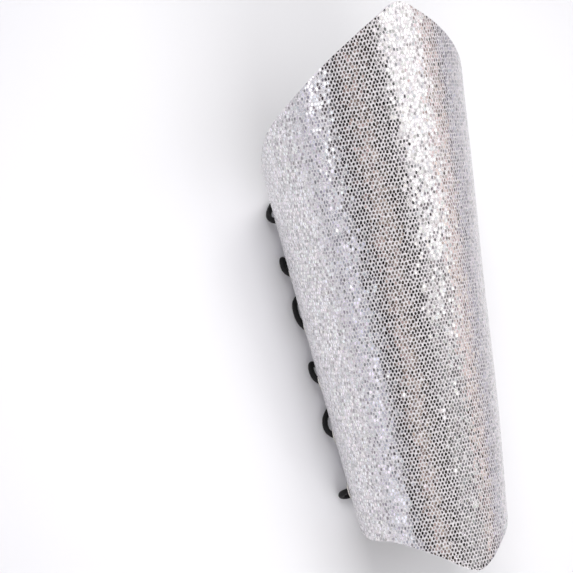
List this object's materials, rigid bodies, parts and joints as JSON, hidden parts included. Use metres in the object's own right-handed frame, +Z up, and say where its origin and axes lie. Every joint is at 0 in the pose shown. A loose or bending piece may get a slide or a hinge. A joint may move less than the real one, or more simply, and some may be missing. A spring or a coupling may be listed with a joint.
{
  "type": "laced arm bracer",
  "caption": "Laced forearm bracer: a tapered, nearly closed tube of glitter faux leather with pointed ends, black lining, metal eyelets and a criss-cross cord.",
  "frame": {"origin": "on the floor, under the middle of the bracer as it lies on its laced edges", "axes": "+Z up from the floor, +Y along the bracer to the wide elbow end, +X across it"},
  "size_m": [0.092, 0.2402, 0.1075],
  "materials": {
    "glitter_faux_leather": "pale lilac-grey faux leather covered in small mirror dots in staggered rows 1.5 mm apart",
    "black_lining": "plain matte black lining cloth",
    "nickel_eyelet": "bright nickel-plated sheet metal",
    "black_cord": "finely braided round black polyester cord"
  },
  "bodies": {
    "root": {"shell": "glitter_faux_leather", "lining": "black_lining", "eyelet_left_1": "nickel_eyelet", "eyelet_left_2": "nickel_eyelet", "eyelet_left_3": "nickel_eyelet", "eyelet_left_4": "nickel_eyelet", "eyelet_left_5": "nickel_eyelet", "eyelet_left_6": "nickel_eyelet", "eyelet_right_1": "nickel_eyelet", "eyelet_right_2": "nickel_eyelet", "eyelet_right_3": "nickel_eyelet", "eyelet_right_4": "nickel_eyelet", "eyelet_right_5": "nickel_eyelet", "eyelet_right_6": "nickel_eyelet", "lace": "black_cord"}
  },
  "joints": []
}
